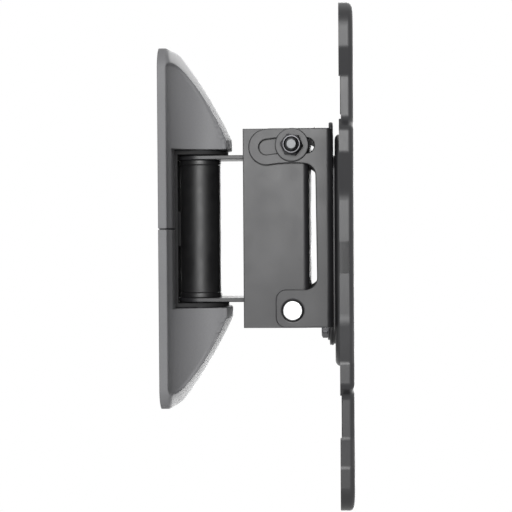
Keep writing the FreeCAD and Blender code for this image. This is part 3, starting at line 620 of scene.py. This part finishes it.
def cutHeadHole(piece, side):
    # The round hole in the mouth's ceiling for the pivot bolt's head, cut with a plain drum.
    low, high = nodeBox("wall_pivot_washers")
    middle = (low + high) / 2
    radius = (high[1] - low[1]) / 2 + coverForm["headGap"]
    past = 1.0    # how far the drum stands out of the ceiling on both sides
    foot = coverSize()["mouth"] - past
    top = foot + coverForm["wall"] + 2 * past
    turn = np.linspace(0, 2 * np.pi, coverForm["headSides"], endpoint=False)
    rows = np.array([[0, foot], [radius, foot], [radius, top], [0, top]])
    points = np.stack([middle[0] + rows[:, :1] * np.cos(turn), rows[:, :1] * np.sin(turn),
                       side * rows[:, 1:] + 0 * turn], axis=-1)
    drum = makePiece("headHoleDrum", points, gridFaces(len(rows), len(turn), True), "black_cover",
                     "wall_unit")
    cut = piece.modifiers.new("headHole", "BOOLEAN")
    cut.operation = "DIFFERENCE"
    cut.solver = "EXACT"
    cut.object = drum
    shaped = bpy.data.meshes.new_from_object(piece.evaluated_get(bpy.context.evaluated_depsgraph_get()))
    piece.modifiers.clear()
    piece.data = shaped
    bpy.data.objects.remove(drum)


def makeCovers():
    points, faces = coverShell(coverSize())
    for name, node, side in (("upperCover", "upper_cover", 1), ("lowerCover", "lower_cover", -1)):
        piece = makePiece(name, points * (1, 1, side), faces[:, ::side], "black_cover", "wall_unit",
                          [node])
        cutHeadHole(piece, side)


makeCovers()
print("covers made")


# Hardware: bolts, nuts and washers, each a line of heights and radii turned about its axis

hardware = {
    "chamferReach": 0.46,    # radius of a hexagon's chamfered face, as a share of its flats
    "chamferSlope": 0.577,   # thirty degrees
    "past": 0.01,            # how far a turned side runs past the hexagon's corners
    "collarShare": 0.62,     # where a lock nut's collar starts, as a share of its height
    "threadDepth": 0.30,     # as a share of the pitch
    "threadRow": 0.14,       # distance between rows on a thread
    "otherRow": 0.6,
    "bendRows": 4,           # steps round a rounded corner
    "cutShare": 1 / 2.2,     # the most that a rounding takes of the line beside it
    "sides": 96,
}


def softLine(corners):
    # Corners are (height, radius, rounding); each one is cut back and bent by a parabola.
    corners = np.array(corners, dtype=float)
    places, roundings = corners[:, :2], corners[:, 2]
    share = np.linspace(0, 1, hardware["bendRows"] + 1)[:, None]
    most = hardware["cutShare"]
    parts = [places[:1]]
    for before, here, after, rounding in zip(places[:-2], places[1:-1], places[2:], roundings[1:-1]):
        back, on = before - here, after - here
        cut = min(rounding, np.hypot(*back) * most, np.hypot(*on) * most)
        start = here + back / np.hypot(*back) * cut
        end = here + on / np.hypot(*on) * cut
        parts.append((1 - share) ** 2 * start + 2 * share * (1 - share) * here + share ** 2 * end)
    return np.concatenate(parts + [places[-1:]])


def addRows(line, threadStart):
    # Splits long steps, finely where a thread is to be cut.
    parts = []
    for first, second in zip(line[:-1], line[1:]):
        row = hardware["threadRow"] if max(first[0], second[0]) > threadStart else hardware["otherRow"]
        count = max(1, math.ceil(np.hypot(*(second - first)) / row))
        parts.append(first + (second - first) * np.linspace(0, 1, count, endpoint=False)[:, None])
    return np.concatenate(parts + [line[-1:]])


def turned(corners, origin, way, corner, flats=1000.0, shank=0.0, pitch=1.0, threadStart=1000.0):
    # Radii are kept inside a hexagon with one corner at the given direction. The thread is a helical
    # groove in the shank: half of one less the cosine of the turns up the pitch less the turn round.
    line = addRows(softLine(corners), threadStart)
    way, corner = np.array(way, dtype=float), np.array(corner, dtype=float)
    corner /= np.linalg.norm(corner)
    turn = np.linspace(0, 2 * np.pi, hardware["sides"], endpoint=False)
    height, radius = line[:, :1], line[:, 1:]
    groove = 0.5 - 0.5 * np.cos(2 * np.pi * height / pitch - turn)
    onShank = (np.abs(radius - shank) < 0.02) & (height > threadStart)
    radius = radius - onShank * groove * hardware["threadDepth"] * pitch
    hexagon = flats / 2 / np.cos((turn + 0 * height) % (np.pi / 3) - np.pi / 6)
    radius = np.minimum(radius, hexagon)
    across = np.cos(turn)[:, None] * corner + np.sin(turn)[:, None] * np.cross(way, corner)
    points = np.array(origin) + height[..., None] * way + radius[..., None] * across
    return points.reshape(-1, 3), gridFaces(len(line), len(turn), True)


def hexagonEdge(flats):
    # The chamfered face's radius, the turned side's radius and the chamfer's height.
    face = flats * hardware["chamferReach"]
    corner = flats / math.sqrt(3)
    return face, corner + hardware["past"], (corner - face) * hardware["chamferSlope"]


def boltShape(head, flats, shank, length):
    face, side, drop = hexagonEdge(flats)
    return [(0, 0, 0), (0, face, 0.25), (drop, side, 0.1), (head - 0.3, side, 0.15),
            (head, side - 0.41, 0.15), (head, shank, 0.4), (length - 0.7, shank, 0.25),
            (length, shank - 0.7, 0.2), (length, 0, 0)]


def lockNutShape(height, flats, bore):
    # Its last rows are the collar, the nylon ring inside it and the bore.
    face, side, drop = hexagonEdge(flats)
    top = height * hardware["collarShare"]
    start = (height * 0.3, bore, 0)
    return [start, (0, bore, 0.3), (0, face, 0.2), (drop, side, 0.1), (top - drop, side, 0.1),
            (top, face * 1.01, 0.2), (height - 0.1, face, 0.8), (height, face - 0.9, 0.25),
            (height - 0.5, face - 1.15, 0.15), (height - 0.6, bore, 0.15), start]


def nutShape(height, flats, bore):
    face, side, drop = hexagonEdge(flats)
    start = (height / 2, bore, 0)
    return [start, (0, bore, 0.3), (0, face, 0.2), (drop, side, 0.1), (height - drop, side, 0.1),
            (height, face, 0.2), (height, bore, 0.3), start]


def washerShape(height, radius, bore, rounding):
    start = (height / 2, bore, 0)
    return [start, (0, bore, 0.15), (0, radius, rounding), (height, radius, rounding),
            (height, bore, 0.15), start]


def joinShapes(shapes):
    # Several shapes as one list of points and faces.
    points, faces, count = [], [], 0
    for some, joined in shapes:
        points.append(some)
        faces.append(joined + count)
        count += len(some)
    return np.concatenate(points), np.concatenate(faces)


pivotForm = {"shank": 4.0, "pitch": 1.25, "washer": 1.6, "washerBore": 4.2, "washerRound": 0.35}


def makePivot(name, body, bolt, washers, nut):
    # An upright M8 bolt with a washer at each end and a lock nut below.
    form = pivotForm
    foot, top = nodeBox(bolt)
    washerFoot, washerTop = nodeBox(washers)
    nutFoot, nutTop = nodeBox(nut)[:, 2]
    middle = (top + foot) / 2
    down, up, outward = (0, 0, -1), (0, 0, 1), (1, 0, 0)
    flats = top[1] - foot[1]
    shape = turned(boltShape(top[2] - washerTop[2], flats, form["shank"], top[2] - foot[2]),
                   (middle[0], 0, top[2]), down, outward, flats, form["shank"], form["pitch"],
                   top[2] - nutTop)
    makePiece(name + "Bolt", *shape, "black_zinc", body, [bolt])
    ring = washerShape(form["washer"], (washerTop[1] - washerFoot[1]) / 2, form["washerBore"],
                       form["washerRound"])
    rings = [turned(ring, (middle[0], 0, height), up, outward)
             for height in (washerTop[2] - form["washer"], washerFoot[2])]
    makePiece(name + "Washers", *joinShapes(rings), "black_zinc", body, [washers])
    shape = turned(lockNutShape(nutTop - nutFoot, flats, form["shank"]), (middle[0], 0, nutTop), down,
                   outward, flats)
    makePiece(name + "Nut", *shape, "black_zinc", body, [nut])


clampForm = {
    "turn": -8.0,            # of the nut and washer, in degrees
    "shank": 3.0,
    "pitch": 1.0,
    "flats": 10.0,
    "head": 4.0,
    "sheetInside": 28.0,     # from the middle plane to the sheet that the head lies on
    "washer": 1.5,
    "washerBore": 3.2,
    "washerRound": 0.5,
}


def makeClamps():
    # The two short M6 bolts that lock the tilt, with a broad washer and a lock nut each.
    form = clampForm
    end = nodeBox("tilt_clamp_bolts")[1][1]
    nutTop = nodeBox("tilt_clamp_nuts")[1][1]
    low, high = nodeBox("tilt_clamp_washers")
    nutFoot = high[1]
    middle = (low + high) / 2
    radius = (high[0] - low[0]) / 2
    turn = math.radians(form["turn"])
    corner = (math.cos(turn), 0, math.sin(turn))
    start = form["sheetInside"] - form["head"]
    bolts, washers, nuts = [], [], []
    for side in (1, -1):
        way = (0, side, 0)
        bolts.append(turned(boltShape(form["head"], form["flats"], form["shank"], end - start),
                            (middle[0], side * start, middle[2]), way, (0, 0, 1), form["flats"],
                            form["shank"], form["pitch"], nutFoot - start))
        ring = washerShape(form["washer"], radius, form["washerBore"], form["washerRound"])
        washerStart = side * (nutFoot - form["washer"])
        washers.append(turned(ring, (middle[0], washerStart, middle[2]), way, corner))
        nuts.append(turned(lockNutShape(nutTop - nutFoot, form["flats"], form["shank"]),
                           (middle[0], side * nutFoot, middle[2]), way, corner, form["flats"]))
    makePiece("tiltClampBolts", *joinShapes(bolts), "zinc", "swivel_head", ["tilt_clamp_bolts"],
              "dull_zinc")
    makePiece("tiltClampWashers", *joinShapes(washers), "black_paint", "swivel_head",
              ["tilt_clamp_washers"])
    makePiece("tiltClampNuts", *joinShapes(nuts), "black_zinc", "swivel_head", ["tilt_clamp_nuts"])


levelForm = {"bracketSheet": 2.0, "boreGap": 0.2, "washerRound": 0.25}


def makeLevelSet(name, body, bolt, washer, nut, shank, pitch, washerBehind):
    # A bolt from behind the plate, its washer and a thin nut on the television's side.
    form = levelForm
    boltLow, boltHigh = nodeBox(bolt)
    washerLow, washerHigh = nodeBox(washer)
    nutLow, nutHigh = nodeBox(nut)
    toTelevision, up = (1, 0, 0), (0, 0, 1)
    flats = boltHigh[1] - boltLow[1]
    level = (boltLow[2] + boltHigh[2]) / 2
    seat = washerLow[0] if washerBehind else nodeBox("tilt_bracket")[1][0] - form["bracketSheet"]
    shape = turned(boltShape(seat - boltLow[0], flats, shank, boltHigh[0] - boltLow[0]),
                   (boltLow[0], 0, level), toTelevision, up, flats, shank, pitch, nutLow[0] - boltLow[0])
    makePiece(name + "Bolt", *shape, "black_zinc", body, [bolt])
    ring = washerShape(washerHigh[0] - washerLow[0], (washerHigh[1] - washerLow[1]) / 2,
                       shank + form["boreGap"], form["washerRound"])
    shape = turned(ring, (washerLow[0], 0, level), toTelevision, up)
    makePiece(name + "Washer", *shape, "black_zinc", body, [washer])
    shape = turned(nutShape(nutHigh[0] - nutLow[0], flats, shank), (nutLow[0], 0, level), toTelevision,
                   up, flats)
    makePiece(name + "Nut", *shape, "black_zinc", body, [nut])


makePivot("wallPivot", "wall_unit", "wall_pivot_bolt", "wall_pivot_washers", "wall_pivot_nut")
makePivot("headPivot", "link_arm", "head_pivot_bolt", "head_pivot_washers", "head_pivot_nut")
makeClamps()
makeLevelSet("levelPivot", "tilt_head", "level_pivot_bolt", "level_pivot_washer", "level_pivot_nut",
             4.0, 1.25, False)
makeLevelSet("levelLock", "tv_plate", "level_lock_bolt", "level_lock_washer", "level_lock_nut",
             3.0, 1.0, True)
print("hardware made")


# Steelwork carried over as it is; its sheet edges are rolled over a little

edgeRounding = {
    "wall_plate": 0.4, "wall_bracket": 0.3, "barrel_gusset": 0.9, "barrel_spine": 0.3,
    "wall_barrel": 0.4, "head_barrel": 0.4, "upper_link_strap": 0.35, "lower_link_strap": 0.35,
    "swivel_channel": 0.3, "tilt_bracket": 0.55, "vesa_plate": 0.25, "level_friction_pad": 0.15,
    "wall_barrel_bushes": 0.5, "head_barrel_bushes": 0.5, "wall_thrust_washers": 0.3, "tilt_pins": 0.3,
    "bracket_rivets": 0.5,
}

edgeForm = {
    "weld": 0.002,           # millimetres
    "flat": 0.4,             # degrees between faces that are joined into one
    "sharp": 34.0,           # degrees from which an edge is rolled over
    "segments": 3,
    "evenness": 80,          # how much the large faces lead the shading
}

# sheets whose edges are rolled over by the full width, even past their smallest facets
freeEdges = ("tilt_bracket", "swivel_channel")

# painted shade: the steel inside the cover's mouth gets darker coats, the darkest and dullest where it
# lies deepest in shade
nodeLooks = {"wall_bracket": "dull_painted_shade_coat", "wall_barrel": "painted_shade_coat", "barrel_gusset": "dull_painted_shade_coat"}


def roundEdges(piece, width):
    # Joins the loose faces, rolls the edges over and evens out the shading.
    weld = piece.modifiers.new("weld", "WELD")
    weld.merge_threshold = edgeForm["weld"] * millimetre
    flatten = piece.modifiers.new("flats", "DECIMATE")
    flatten.decimate_type = "DISSOLVE"
    flatten.angle_limit = math.radians(edgeForm["flat"])
    bevel = piece.modifiers.new("edges", "BEVEL")
    bevel.width = width * millimetre
    bevel.segments = edgeForm["segments"]
    bevel.limit_method = "ANGLE"
    bevel.angle_limit = math.radians(edgeForm["sharp"])
    bevel.use_clamp_overlap = piece.name not in freeEdges
    even = piece.modifiers.new("shading", "WEIGHTED_NORMAL")
    even.keep_sharp = True
    even.weight = edgeForm["evenness"]


def finishNodes():
    for name, node in nodes.items():
        for holder in node.material_slots:
            holder.material = finishes[nodeLooks.get(name, holder.material.name.split(".")[0])]
        if name in edgeRounding:
            roundEdges(node, edgeRounding[name])


finishNodes()
print("carried-over nodes finished")
